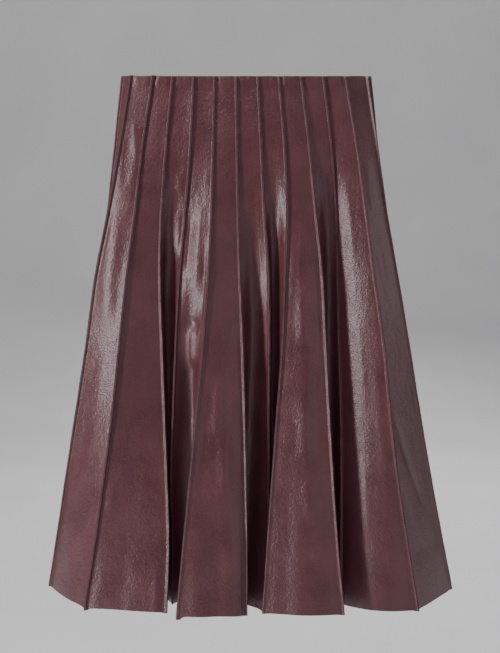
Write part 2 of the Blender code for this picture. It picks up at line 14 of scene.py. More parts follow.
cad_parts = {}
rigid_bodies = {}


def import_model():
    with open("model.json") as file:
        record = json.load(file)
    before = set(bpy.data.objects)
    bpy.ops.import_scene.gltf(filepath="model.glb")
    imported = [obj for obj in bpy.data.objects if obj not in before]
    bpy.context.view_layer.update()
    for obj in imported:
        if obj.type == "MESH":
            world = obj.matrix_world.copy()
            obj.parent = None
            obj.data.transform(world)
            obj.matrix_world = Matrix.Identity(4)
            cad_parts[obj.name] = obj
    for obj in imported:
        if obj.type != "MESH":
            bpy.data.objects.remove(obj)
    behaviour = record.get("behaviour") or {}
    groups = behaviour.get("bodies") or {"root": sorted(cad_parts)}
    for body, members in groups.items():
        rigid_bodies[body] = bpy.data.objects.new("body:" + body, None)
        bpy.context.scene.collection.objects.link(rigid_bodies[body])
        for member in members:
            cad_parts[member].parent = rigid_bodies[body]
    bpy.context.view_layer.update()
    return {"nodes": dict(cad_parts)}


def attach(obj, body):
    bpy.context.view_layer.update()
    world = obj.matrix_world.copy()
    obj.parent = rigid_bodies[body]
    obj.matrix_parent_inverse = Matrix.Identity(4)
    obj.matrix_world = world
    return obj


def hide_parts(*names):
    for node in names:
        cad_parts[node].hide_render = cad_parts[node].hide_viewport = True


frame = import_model()

MM = 0.001

# ---- the cut, as in the solids
LENGTH = 0.684
LEATHER = 0.0011
SEAM_GAP = 0.00015  # two sewn lips all but touch
LIP = 0.0032
FLAT_EASE = 0.001
FOLD_RAMP = 0.3
SINK_START = 0.12
SINK_POWER = 1.25
SPREAD_POWER = 1.9
SEAM_UPRIGHT = 0.15

# The worn form at five even heights (mm)
HALF_WIDTH = (159.0, 178.0, 203.0, 232.0, 267.0)
MIDDLE = (0.0, 0.0, 2.0, 4.0, 6.0)
FRONT_DEPTH = (46.0, 78.0, 106.0, 129.0, 146.0)
BACK_DEPTH = (46.0, 76.0, 110.0, 138.0, 160.0)
SQUARENESS = (4.0, 4.0, 3.3, 2.8, 2.4)  # exponent of its outline

# Cut width of a folded gore, from waist to hem at nine even heights (mm)
CUT_WIDTH = (28.6, 32.6, 37.0, 44.5, 55.0, 68.0, 83.0, 98.5, 114.0)

# Seams across the front, one a row, from waist to hem at nine even heights: sideways places (mm)
SEAMS_ACROSS = (
    (-147, -160, -175, -192, -204, -218, -233, -248, -264),
    (-119, -132, -142, -153, -162, -171, -182, -194, -208),
    (-94, -102, -109, -112, -110, -107, -104, -102, -105),
    (-67, -71, -77, -84, -89, -93, -96, -95, -96),
    (-40, -42, -44, -48, -54, -62, -70, -78, -86),
    (-13, -12, -11, -9, -6, -4, -3, -2, -2),
    (15, 19, 23, 28, 29, 28, 28, 27, 21),
    (42, 49, 53, 51, 48, 42, 36, 30, 24),
    (70, 80, 88, 96, 100, 104, 109, 115, 123),
    (99, 109, 116, 119, 121, 124, 125, 125, 125),
    (127, 141, 153, 164, 176, 184, 194, 207, 221),
    (154, 166, 178, 193, 208, 223, 239, 256, 274),
)
# Their depths at the same heights (mm)
SEAMS_DEPTH = (
    (-37, -51, -63, -68, -70, -63, -50, -30, 0),
    (-42, -56, -72, -86, -95, -100, -103, -104, -105),
    (-45, -59, -69, -76, -84, -93, -102, -112, -124),
    (-46, -62, -67, -75, -85, -89, -90, -89, -86),
    (-46, -64, -79, -92, -105, -118, -130, -139, -144),
    (-46, -64, -75, -84, -95, -107, -119, -130, -138),
    (-46, -63, -72, -78, -84, -90, -97, -105, -112),
    (-46, -63, -77, -87, -96, -104, -112, -120, -128),
    (-46, -62, -76, -86, -96, -106, -116, -126, -136),
    (-45, -57, -62, -66, -71, -77, -82, -86, -88),
    (-42, -59, -75, -88, -98, -105, -110, -112, -112),
    (-34, -46, -56, -61, -59, -52, -42, -29, -14),
)
# How far the lips of each stand above the waist edge and hang below the hem (mm)
SEAM_ENDS = (
    # (rise, drop), six seams a row
    (1.2, 0.0), (1.2, 3.0), (0.0, 0.8), (0.0, 0.0), (0.0, 4.6), (0.0, 0.6),
    (0.0, 1.5), (0.0, 0.8), (0.0, 1.0), (0.0, 0.0), (0.0, 1.4), (0.0, 0.5),
)

# How each front gore takes up its spare width: OUT crowns and IN folds inwards. Lean turns the crest of the
# bend from straight out or in towards the next seam (degrees), at the waist and at the hem. Softness is the
# share of the width that the bend takes. A gore with a start has its full cut width from just below it (as a
# share of the length). The others are wider than the distance between their seams, by an ease at the five
# heights (per cent).
IN, OUT = 1, -1
FRONT_GORES = (
    # side, lean, softness, start, ease
    (OUT, (0, 0), 1.0, None, (0.1, 0.8, 0.5, 0.3, 0.5)),
    (OUT, (0, 0), 1.0, None, (0.1, 0.2, 0.2, 0.3, 0.6)),
    (IN, (-35, -10), 0.5, 0.12, None),
    (IN, (-15, 8), 0.5, 0.36, None),
    (OUT, (10, 30), 0.9, None, (0.1, 0.2, 0.3, 1.2, 3.0)),
    (IN, (25, -40), 0.5, 0.16, None),
    (IN, (-25, 12), 0.45, 0.12, None),
    (OUT, (0, 12), 0.9, None, (0.1, 0.3, 0.8, 2.0, 3.0)),
    (IN, (25, -10), 0.45, 0.12, None),
    (OUT, (10, 20), 1.0, None, (0.1, 0.8, 1.6, 3.0, 8.0)),
    (OUT, (0, 0), 1.0, None, (0.1, 0.2, 0.2, 0.3, 0.5)),
)

# Folds round the sides and back, each of two gores that sink between crowned ones. At the hem: how wide its
# mouth is and how far its middle seam sinks (mm), how much its two gores lean (degrees), their softness, and
# how much of the form's girth the crowned gore after it covers (mm).
HIDDEN_FOLDS = (
    # mouth, sink, first lean, second lean, softness, crown
    (38, 58, -8, 6, 0.50, 102),
    (34, 48, -14, 10, 0.55, 98),
    (44, 68, -6, 12, 0.45, 104),
    (36, 54, -12, 4, 0.55, 100),
    (42, 62, -4, 10, 0.50, 122),
)
HIDDEN_START = 0.15  # start, as in the front's gores
HIDDEN_CROWN = (OUT, 0, 1.0)
GORES = len(SEAM_ENDS) + 3 * len(HIDDEN_FOLDS) - 1
FRONT_COUNT = len(FRONT_GORES)
SIDE_COUNT = 2
BEND_STEPS = 96
OVAL_STEPS = 720
PATH_PROBE = 0.002
LEAST_OUT = 0.25  # a bend's crest points at least this far out or in
MOST_ASIDE = 0.40  # and lies at most this far from the middle, as a share of the chord
FLAT_SLACK = 1.0003  # a gore that is no longer than this times its chord lies straight
MOST_TURN = 1.5 * math.pi
TURN_TRIES = 31
HALVINGS = 30

ZIP_SEAM = 18
ZIP_LENGTH = 0.205
ZIP_LIP = 0.0009
ZIP_GAP = 0.0018
ZIP_FADE = 0.016
TAPE_TOP = 0.004
TAPE_WIDTH = 0.012
TAPE_THICK = 0.001
TAPE_EDGE = 0.0030
TAPE_ROOM = 0.0004

# ---- fineness of the leather
KEY_SECTIONS = 60  # sections that are worked out in full; the rows between them are interpolated
KEY_POWER = 1.25
FRONT_ROWS, FRONT_COLUMNS = 170, 38
HIDDEN_ROWS, HIDDEN_COLUMNS = 112, 30
RIM_STEP = 0.0006  # the last row or column before an edge
RIM_BULGE = 0.00022  # how far a cut edge rounds out
FOOT_RADIUS = 0.0014  # bend of the leather at the foot of a lip
FOOT_SHARE = 0.55  # the most of a lip's height that its foot takes
LIP_POINTS = 6  # columns of a lip and its foot, on each side
CLOTH_STEP = 0.3  # each gore's grain starts this much further along than the last (m)
LIP_WEAR = (1.0, 0.8, 0.3)  # from a lip's tip to its foot

# ---- creases
# Each crease runs from one point of its gore to another. Across is 0 at the gore's first seam and 1 at its
# last, below is from the waist (mm), half is its half width (mm), and height is how far it stands out, or
# sinks where it is negative (mm).
CREASES = {
    # gore: across, below, across, below, half, height
    0: (
        (0.35, 49, 0.92, 112, 3.4, 0.8),
        (0.20, 70, 0.50, 150, 6, -0.8),
        (0.30, 150, 0.50, 330, 10, 1.7),
        (0.80, 190, 0.84, 330, 7, -0.6),
        (0.62, 340, 0.50, 430, 9, 0.9),
        (0.30, 420, 0.34, 520, 9, -0.7),
        (0.28, 560, 0.50, 662, 12, 1.5),
        (0.62, 590, 0.80, 684, 10, -0.9),
    ),
    1: (
        (0.36, 400, 0.30, 480, 6, 0.8),
        (0.66, 480, 0.62, 560, 7, 0.8),
        (0.14, 510, 0.12, 568, 6, 1.0),
        (0.44, 540, 0.42, 690, 13, -1.2),
        (0.16, 580, 0.13, 690, 8, 0.7),
        (0.88, 600, 0.90, 690, 6, 1.0),
        (0.30, 120, 0.62, 330, 9, 0.4),
    ),
    2: (
        (0.66, 120, 0.72, 152, 5, 1.0),
        (0.66, 165, 0.70, 240, 8, 1.9),
        (0.30, 330, 0.35, 470, 7, 0.6),
    ),
    3: (
        (0.14, 170, 0.12, 262, 6, -1.5),
        (0.58, 150, 0.58, 290, 7.5, 1.7),
        (0.92, 200, 0.93, 318, 9, -1.9),
        (0.10, 306, 0.78, 322, 6.5, -2.2),
        (0.50, 312, 0.48, 376, 11, 5.2),
        (0.42, 372, 0.41, 530, 7, -1.5),
        (0.35, 420, 0.28, 600, 8, 0.7),
    ),
    4: (
        (0.14, 395, 0.18, 545, 7, -1.4),
        (0.42, 375, 0.46, 460, 6.5, 2.0),
        (0.58, 440, 0.66, 540, 8, 2.7),
        (0.76, 300, 0.82, 640, 22, 3.0),
        (0.80, 330, 0.78, 460, 8, -0.9),
        (0.80, 545, 0.88, 690, 13, 4.2),
        (0.44, 560, 0.58, 690, 9, -1.4),
        (0.12, 590, 0.26, 690, 8, 0.9),
    ),
    5: ((0.60, 200, 0.55, 330, 6, 0.5), (0.30, 480, 0.42, 640, 9, 0.8)),
    6: (
        (0.62, 130, 0.66, 240, 5, -0.6),
        (0.70, 205, 0.96, 212, 2.6, 0.5),
        (0.66, 214, 0.95, 220, 2.6, -0.4),
        (0.72, 223, 0.97, 228, 2.4, 0.4),
        (0.45, 340, 0.50, 520, 8, 0.6),
    ),
    7: (
        (0.40, 200, 0.42, 290, 7, 1.2),
        (0.42, 262, 0.46, 350, 9, 2.7),
        (0.58, 170, 0.62, 470, 20, 3.2),
        (0.50, 395, 0.60, 510, 10, 2.9),
        (0.58, 500, 0.66, 575, 9, 2.4),
        (0.62, 612, 0.88, 588, 6, 2.2),
        (0.90, 612, 0.92, 670, 6, 1.2),
        (0.78, 300, 0.80, 500, 10, -0.9),
        (0.24, 440, 0.27, 690, 14, -1.7),
    ),
    8: ((0.35, 300, 0.42, 450, 7, -0.6), (0.60, 520, 0.52, 660, 9, 0.8)),
    9: (
        (0.42, 120, 0.50, 260, 7, 0.9),
        (0.50, 300, 0.54, 430, 8, 0.8),
        (0.82, 325, 0.84, 545, 8, 0.8),
        (0.50, 470, 0.42, 600, 8, 0.9),
        (0.22, 560, 0.26, 684, 12, -1.2),
    ),
    10: (
        (0.45, 90, 0.35, 190, 6, 0.7),
        (0.20, 180, 0.60, 300, 6, -0.9),
        (0.04, 412, 0.72, 575, 6, -1.6),
        (0.15, 470, 0.42, 625, 10, 0.9),
        (0.80, 560, 0.86, 690, 9, 0.8),
    ),
    11: ((0.40, 180, 0.46, 330, 8, 0.5), (0.60, 440, 0.50, 640, 9, -0.8)),
    12: ((0.30, 400, 0.25, 560, 8, 0.7), (0.72, 560, 0.66, 690, 8, 0.8)),
    13: (
        (0.40, 60, 0.52, 105, 4, 0.4),
        (0.34, 350, 0.42, 510, 6.5, 0.8),
        (0.70, 430, 0.64, 600, 8, -0.9),
        (0.22, 575, 0.30, 690, 10, 1.1),
    ),
    14: ((0.55, 260, 0.48, 380, 6.5, 0.6), (0.35, 510, 0.42, 665, 8, 0.7)),
    15: ((0.45, 330, 0.55, 520, 7, -0.6), (0.66, 580, 0.60, 690, 8, 0.9)),
    16: (
        (0.28, 300, 0.33, 440, 7, 0.7),
        (0.62, 395, 0.55, 470, 5.5, 0.8),
        (0.38, 540, 0.30, 690, 13, -1.3),
        (0.72, 570, 0.80, 690, 9, 1.0),
    ),
    17: ((0.40, 240, 0.34, 330, 6, 0.5), (0.62, 465, 0.70, 640, 8.5, 0.8)),
    18: ((0.55, 250, 0.62, 350, 6, 0.6), (0.30, 520, 0.24, 650, 8, -0.7)),
    19: (
        (0.52, 80, 0.44, 112, 3.5, 0.4),
        (0.75, 330, 0.70, 500, 7.5, 0.9),
        (0.30, 450, 0.46, 600, 6.5, -1.3),
        (0.16, 590, 0.20, 690, 8, 0.9),
        (0.58, 610, 0.74, 690, 10, 1.0),
    ),
    20: ((0.30, 380, 0.38, 520, 7, 0.6), (0.60, 550, 0.66, 690, 9, -0.8)),
    21: ((0.65, 290, 0.58, 430, 6, 0.6), (0.40, 540, 0.32, 670, 8, 0.8)),
    22: (
        (0.24, 310, 0.30, 430, 6, 0.8),
        (0.56, 372, 0.82, 350, 4.5, 0.9),
        (0.46, 500, 0.56, 690, 12, -1.4),
        (0.78, 560, 0.74, 660, 8, 1.0),
    ),
    23: ((0.42, 270, 0.50, 400, 6.5, 0.6), (0.30, 500, 0.36, 640, 8.5, 0.8)),
    24: ((0.60, 340, 0.52, 480, 7, -0.6), (0.38, 560, 0.44, 690, 9, 0.8)),
    25: (
        (0.35, 150, 0.45, 300, 8, 0.4),
        (0.66, 400, 0.58, 560, 7, 0.9),
        (0.30, 500, 0.22, 690, 12, -1.2),
        (0.78, 600, 0.84, 690, 8, 1.0),
    ),
}
CREASE_BOW = 0.12  # how far a crease bows sideways, as a share of its half width
CREASE_FADE = 0.35  # share of a crease's length over which each end fades
HEM_CREASE_FADE = 0.5  # the same for the upper end of one that runs into the hem
FACING_DEPTH = 0.013  # the waist's turned-in edge prints through down to about here
FACING_EDGE = 0.007  # height over which the print ends
FACING_STEP = 0.0010
WAIST_START, WAIST_HEIGHT = 0.25, 0.06  # how the relief rises from the waist edge down

# Soft unevenness of the hide: wavelength and height of each layer (m)
UNDULATIONS = ((0.062, 0.00060), (0.024, 0.00022), (0.011, 0.00008))
HIDE_STRETCH = 0.62
GORE_SEED, LAYER_SEED = 7.3, 31.7
SEAM_CALM = 0.006  # creases die out this close to a seam

# Waves down a seam. Each row: height, length of one radian (m), and phase from one seam to the next.
PUCKER_WANDER = ((2.2, 0.047, 0.9), (1.3, 0.0213, 0.9 * 2.1))
PUCKER_STRENGTH = ((0.45, 0.061, 0.9 * 1.7),)
PUCKER_MEAN = 0.55
PUCKER_PITCH = 0.0105
PUCKER_DEPTH = 0.00028
PUCKER_REACH = 0.008
PUCKER_START = 0.0015
WOBBLE_PITCH = 0.034
LIP_SWAY = ((0.6, WOBBLE_PITCH / (2 * math.pi), 1.3), (0.4, WOBBLE_PITCH / 5.3, 1.3 * 2.3))
WOBBLE = 0.00042  # sideways sway of a lip's tip, the same for both lips of a seam
LIP_WAVES = ((1.0, 0.053, 0.7), (0.6, 0.0117, 1.9))
LIP_UNEVEN = 0.000168

TAB_HEIGHT = 0.012  # the ends of the lips hang longer over this height
TAB_REACH = 0.003
HIDDEN_DROP = (0.3, 0.5, 2.7)  # the least that a hidden lip hangs, how much more at most (mm), and the phase
HEM_WAVES = ((0.5, 7, 0.6), (0.3, 17, 2.0), (0.2, 31, 4.4))  # height, waves round the hem, phase
HEM_WAVE = 0.0008
HEM_WAVE_HEIGHT = 0.06


# ---- small helpers
def at_height(levels, share):
    """The value at a height, on a smooth curve through the values at even levels."""
    last = len(levels) - 1
    place = share * last
    i = min(last - 1, int(place))
    u = place - i
    start, end = levels[i], levels[i + 1]
    start_slope = (levels[i + 1] - levels[max(i - 1, 0)]) / (2 if i else 1)
    end_slope = (levels[min(i + 2, last)] - levels[i]) / (2 if i < last - 1 else 1)
    return (
        (2 * u**3 - 3 * u**2 + 1) * start
        + (u**3 - 2 * u**2 + u) * start_slope
        + (3 * u**2 - 2 * u**3) * end
        + (u**3 - u**2) * end_slope
    )


def rotated(vector, degrees):
    c, s = math.cos(math.radians(degrees)), math.sin(math.radians(degrees))
    return np.array((c * vector[0] - s * vector[1], s * vector[0] + c * vector[1]))


def unit(vectors):
    """One vector, or the rows of an array, made 1 long."""
    return vectors / np.linalg.norm(vectors, axis=-1, keepdims=True)


def fading_in(share):
    return share * share * (3 - 2 * share)


def ramp(value):
    """A smooth rise from 0 to 1, and level outside it."""
    return fading_in(np.clip(value, 0, 1))


def run_along(line):
    """The distance of each point of a line from its first."""
    return np.concatenate(([0], np.cumsum(np.linalg.norm(np.diff(line, axis=0), axis=1))))


def points_at(distance, run, values):
    """The values at some distances along a line."""
    return np.stack([np.interp(distance, run, column) for column in values.T], 1)


def seam_waves(rows, seam, below):
    return sum(height * np.sin(below / radian + phase * seam) for height, radian, phase in rows)


# ---- the worn form and the seams on it
def form_at(share):
    """(half width, middle, front depth, back depth) of the form at a height."""
    return [at_height(levels, share) * MM for levels in (HALF_WIDTH, MIDDLE, FRONT_DEPTH, BACK_DEPTH)]


def oval(share):
    half_width, middle, front, back = form_at(share)
    power = 2 / at_height(SQUARENESS, share)
    angle = np.linspace(0, 2 * math.pi, OVAL_STEPS, endpoint=False)
    c, s = np.cos(angle), np.sin(angle)
    x = middle + half_width * np.sign(c) * abs(c) ** power
    y = np.where(s > 0, back, front) * np.sign(s) * abs(s) ** power
    return np.stack((x, y), 1)


def hidden_seams(share, first, last):
    """Seams from the last front one, round the back, to the first: even at the waist, in folds at the hem."""
    outline = oval(share)
    start = int(np.argmin(np.hypot(*(outline - first).T)))
    end = int(np.argmin(np.hypot(*(outline - last).T)))
    if start > end:
        start -= len(outline)
    path = outline[np.arange(start, end + 1) % len(outline)]
    path[0], path[-1] = first, last
    run = run_along(path)
    at_hem = np.array([span for fold in HIDDEN_FOLDS for span in (fold[0] / 2, fold[0] / 2, fold[5])])
    drawn = share**SPREAD_POWER
    spans = (1 - drawn) + drawn * at_hem / at_hem.mean()
    places = np.cumsum(spans / spans.sum() * run[-1])[:-1]
    seams = points_at(places, run, path)
    along = points_at(places + PATH_PROBE, run, path) - points_at(places - PATH_PROBE, run, path)
    inwards = np.stack((-along[:, 1], along[:, 0]), 1) / np.hypot(*along.T)[:, None]
    sunk = max(0.0, (share - SINK_START) / (1 - SINK_START)) ** SINK_POWER
    for i, fold in enumerate(HIDDEN_FOLDS):
        seams[3 * i] += inwards[3 * i] * fold[1] * MM * sunk
    return seams


def seam_points(share):
    front = [(at_height(x, share), at_height(y, share)) for x, y in zip(SEAMS_ACROSS, SEAMS_DEPTH)]
    front = np.array(front) * MM
    return np.vstack((front, hidden_seams(share, front[-1], front[0])))


def form_normals(points, share):
    half_width, middle, front, back = form_at(share)
    depth = np.where(points[:, 1] > 0, back, front)
    return unit(np.stack(((points[:, 0] - middle) / half_width**2, points[:, 1] / depth**2), 1))


def gore_bend(gore, share):
    """(side, lean, softness) of a gore at a height."""
    if gore < FRONT_COUNT:
        side, (upper, lower), softness, _, _ = FRONT_GORES[gore]
        return side, upper + (lower - upper) * share, softness
    fold, place = divmod(gore - FRONT_COUNT, 3)
    _, _, first_lean, second_lean, softness, _ = HIDDEN_FOLDS[fold]
    return ((IN, first_lean, softness), (IN, second_lean, softness), HIDDEN_CROWN)[place]


def gore_width(gore, share, chord):
    """Cut width of a gore at a height where its seams are a chord apart."""
    start, ease = FRONT_GORES[gore][3:] if gore < FRONT_COUNT else (HIDDEN_START, None)
    if ease:
        return chord * (1 + at_height(ease, share) / 100)
    flat = chord * (1 + FLAT_EASE)
    full = max(at_height(CUT_WIDTH, share) * MM, flat)
    return flat + (full - flat) * ramp((share - start) / FOLD_RAMP)


# ---- a panel's line between two seams
STEP = (np.arange(BEND_STEPS) + 0.5) / BEND_STEPS


def bend_profile(middle, softness):
    x = np.clip((STEP - middle) / softness + 0.5, 0, 1)
    return 0.5 * x + 0.5 * fading_in(x)


def bent_line(profile, turn):
    heading = turn * profile
    steps = np.stack((np.cos(heading), np.sin(heading)), 1) / BEND_STEPS
    return np.vstack(((0.0, 0.0), np.cumsum(steps, axis=0)))


def bend_middle(chord, width, towards):
    across, out = towards[0], max(towards[1], LEAST_OUT)
    across, out = across / math.hypot(across, out), out / math.hypot(across, out)
    long_half, short_half = width / 2, math.sqrt(width**2 - chord**2) / 2
    reach = long_half * short_half / math.hypot(short_half * across, long_half * out)
    first_leg = math.hypot(reach * across + chord / 2, reach * out)
    most = MOST_ASIDE * chord / width
    return 0.5 + max(-most, min(most, first_leg / width - 0.5))


def panel_line(start, end, width, normal, bend):
    """A line of a given length between two points, that bends once to the side the bend says."""
    side, lean, softness = bend
    across = end - start
    chord = np.hypot(*across)
    if width <= chord * FLAT_SLACK:
        return start + np.linspace(0, 1, BEND_STEPS + 1)[:, None] * across
    ahead = across / chord
    left = np.array((-ahead[1], ahead[0]))
    crest = rotated(-normal * side, -lean * side)
    middle = 0.5
    if softness < 1:
        middle = bend_middle(chord, width, (crest @ ahead, (crest @ left) * side))
    profile = bend_profile(middle, min(softness, 2 * min(middle, 1 - middle)))
    turns = np.linspace(0, MOST_TURN, TURN_TRIES)
    low, high = turns[-2], turns[-1]
    for before, after in zip(turns, turns[1:]):
        if np.hypot(*bent_line(profile, after)[-1]) * width < chord:
            low, high = before, after
            break
    for _ in range(HALVINGS):
        turn = (low + high) / 2
        if np.hypot(*bent_line(profile, turn)[-1]) * width > chord:
            low = turn
        else:
            high = turn
    line = bent_line(profile, low) * width
    reach = line[-1]
    back = np.array(((reach[0], reach[1]), (-reach[1], reach[0]))) / np.hypot(*reach)
    line = (line @ back.T) * (chord / np.hypot(*reach), -side)
    return start + line[:, :1] * ahead + line[:, 1:] * left


def zip_share(seam, share):
    """1 where the zip runs, 0 elsewhere."""
    if seam != ZIP_SEAM:
        return 0.0
    return 1 - ramp((share * LENGTH - ZIP_LENGTH) / ZIP_FADE)


def seam_gap(seam, share):
    return SEAM_GAP + (ZIP_GAP - SEAM_GAP) * zip_share(seam, share)


def lip_height(seam, share):
    return LIP + (ZIP_LIP - LIP) * zip_share(seam, share)


class Section:
    """The plan of the skirt at one height: its seams, the ways their lips stand, and its panels' lines."""

    def __init__(self, share):
        self.share = share
        self.points = seam_points(share)
        self.normals = form_normals(self.points, share)
        self.chords = np.hypot(*(np.roll(self.points, -1, axis=0) - self.points).T)
        after = np.roll(self.points, -1, axis=0)
        plain = [self.panel(gore, self.points[gore], after[gore]) for gore in range(GORES)]
        ways = []
        for seam in range(GORES):
            leaving = unit(plain[seam][2] - plain[seam][0])
            arriving = unit(plain[seam - 1][-1] - plain[seam - 1][-3])
            panels = rotated(leaving, -90) + rotated(arriving, -90)
            ways.append(unit(panels + SEAM_UPRIGHT * self.normals[seam]))
        self.ways = np.array(ways)

    def panel(self, gore, start, end, less=0.0):
        facing = unit(self.normals[gore] + self.normals[(gore + 1) % GORES])
        width = gore_width(gore, self.share, self.chords[gore]) - less
        return panel_line(start, end, width, facing, gore_bend(gore, self.share))

    def line(self, gore):
        start, end = self.edge(gore, 1), self.edge((gore + 1) % GORES, -1)
        return self.panel(gore, start, end, LEATHER + SEAM_GAP)

    def edge(self, seam, side):
        opening = (seam_gap(seam, self.share) + LEATHER) / 2
        return self.points[seam] + side * opening * rotated(self.ways[seam], 90)


def placed_evenly(line, count, margin):
    """Points at even steps along a line, leaving a margin at both ends."""
    run = run_along(line)
    return points_at(np.linspace(margin, run[-1] - margin, count + 1), run, line)


SECTIONS = [Section((i / KEY_SECTIONS) ** KEY_POWER) for i in range(KEY_SECTIONS + 1)]
WAYS = [section.ways for section in SECTIONS]
SIDES = (("front", FRONT_COUNT), ("left", SIDE_COUNT), ("back", FRONT_COUNT), ("right", SIDE_COUNT))
GORE_NAMES = [f"{side}_gore_{number + 1:02d}" for side, count in SIDES for number in range(count)]


# ---- the leather's surface
def crease_heights(gore, across, below, width):
    """How far a gore's creases lift it, at points across it (0 to 1) and below the waist (m)."""
    total = np.zeros_like(across)
    for u0, z0, u1, z1, half, height in CREASES[gore]:
        along = (u1 - u0) * width
        drop = (z1 - z0) * MM
        start_x = (across - u0) * width
        start_y = below - z0 * MM
        length = np.hypot(along, drop)
        place = (start_x * along + start_y * drop) / length**2
        sideways = np.abs(start_x * drop - start_y * along) / length
        reach = half * MM
        bow = CREASE_BOW * reach * np.sin(math.pi * np.clip(place, 0, 1)) * (1 if gore % 2 else -1)
        profile = np.exp(-(((sideways + bow) / reach) ** 2))
        taper = ramp(place / CREASE_FADE) * ramp((1 - place) / CREASE_FADE)
        if z1 >= LENGTH / MM:
            taper = ramp(place / HEM_CREASE_FADE)
        total += height * MM * profile * taper
    return total


def hide_noise(gore, across, below, width):
    """The hide's soft unevenness."""
    total = np.zeros_like(across)
    flat = np.stack(((across * width).ravel(), HIDE_STRETCH * below.ravel()), 1)
    for layer, (wavelength, height) in enumerate(UNDULATIONS):
        seed = GORE_SEED * gore + LAYER_SEED * layer
        values = [noise.noise(Vector((x / wavelength, y / wavelength, seed))) for x, y in flat]
        total += height * np.array(values).reshape(across.shape)
    return total


def seam_puckers(seam, away, below):
    """Small gathers along a stitched seam, at points away from it."""
    strength = PUCKER_MEAN + seam_waves(PUCKER_STRENGTH, seam, below)
    wave = np.sin(2 * math.pi * below / PUCKER_PITCH + seam_waves(PUCKER_WANDER, seam, below))
    return PUCKER_DEPTH * strength * wave * np.exp(-((away / PUCKER_REACH) ** 2))


def lip_top(seam, below):
    """How far a lip reaches from its seam, a little unevenly except beside the zip."""
    share = below / LENGTH
    plain = 1 - zip_share(seam, share)
    uneven = LIP_UNEVEN * seam_waves(LIP_WAVES, seam, below) * plain
    return lip_height(seam, share) + LEATHER / 2 + uneven


def tab_shift(seam, below):
    """How far a seam's end stands above the waist edge or hangs below the hem, at a height."""
    least, more, phase = HIDDEN_DROP
    rise, drop = 0.0, least + more * math.sin(phase * seam) ** 2
    if seam < len(SEAM_ENDS):
        rise, drop = SEAM_ENDS[seam]
    at_top = ramp(1 - below / TAB_HEIGHT)
    at_hem = ramp(1 - (LENGTH - below) / TAB_HEIGHT)
    return (rise * at_top - drop * at_hem) * MM


def hem_wave(girth, below):
    """The cut hem's slight rise and fall, round the whole skirt."""
    angle = 2 * math.pi * girth / GORES
    wave = sum(height * np.sin(count * angle + phase) for height, count, phase in HEM_WAVES)
    return HEM_WAVE * wave * ramp(1 - (LENGTH - below) / HEM_WAVE_HEIGHT)


def row_heights(rows):
    even = np.linspace(0, LENGTH, rows + 1)
    return np.concatenate(([0.0, RIM_STEP], even[1:-1], [LENGTH - RIM_STEP, LENGTH]))


def gore_grid(gore, rows, columns):
    """The middle surface of a gore's wall, row by row: lip, rounded foot, panel, rounded foot, lip."""
    after = (gore + 1) % GORES
    lines = [placed_evenly(section.line(gore), columns, FOOT_RADIUS) for section in SECTIONS]
    feet = [np.array((section.edge(gore, 1), section.edge(after, -1))) for section in SECTIONS]
    heights = row_heights(rows)
    grid = []
    for below in heights:
        place = (below / LENGTH) ** (1 / KEY_POWER)
        panel, foot, ways = (at_height(keys, place) for keys in (lines, feet, WAYS))
        sides = []
        for seam, corner, inner in ((gore, foot[0], panel[0]), (after, foot[1], panel[-1])):
            way = unit(ways[seam])
            top = lip_top(seam, below)
            bend = min(FOOT_RADIUS, FOOT_SHARE * top)
            start = corner + way * bend
            sway = WOBBLE * seam_waves(LIP_SWAY, seam, below) * rotated(way, 90)
            side = []
            for height in (top, top - RIM_STEP, (top + bend) / 2):
                side.append(corner + way * height + sway * ((height - bend) / top))
            for t in (0, 1 / 3, 2 / 3):
                side.append((1 - t) ** 2 * start + 2 * t * (1 - t) * corner + t * t * inner)
            sides.append(side)
        grid.append(np.vstack((sides[0], panel, sides[1][::-1])))
    return np.array(grid), heights


def surface_normals(points):
    """Outward unit normals of a grid whose rows go down and whose columns go round."""
    down = np.gradient(points, axis=0)
    along = np.gradient(points, axis=1)
    return unit(np.cross(down, along))


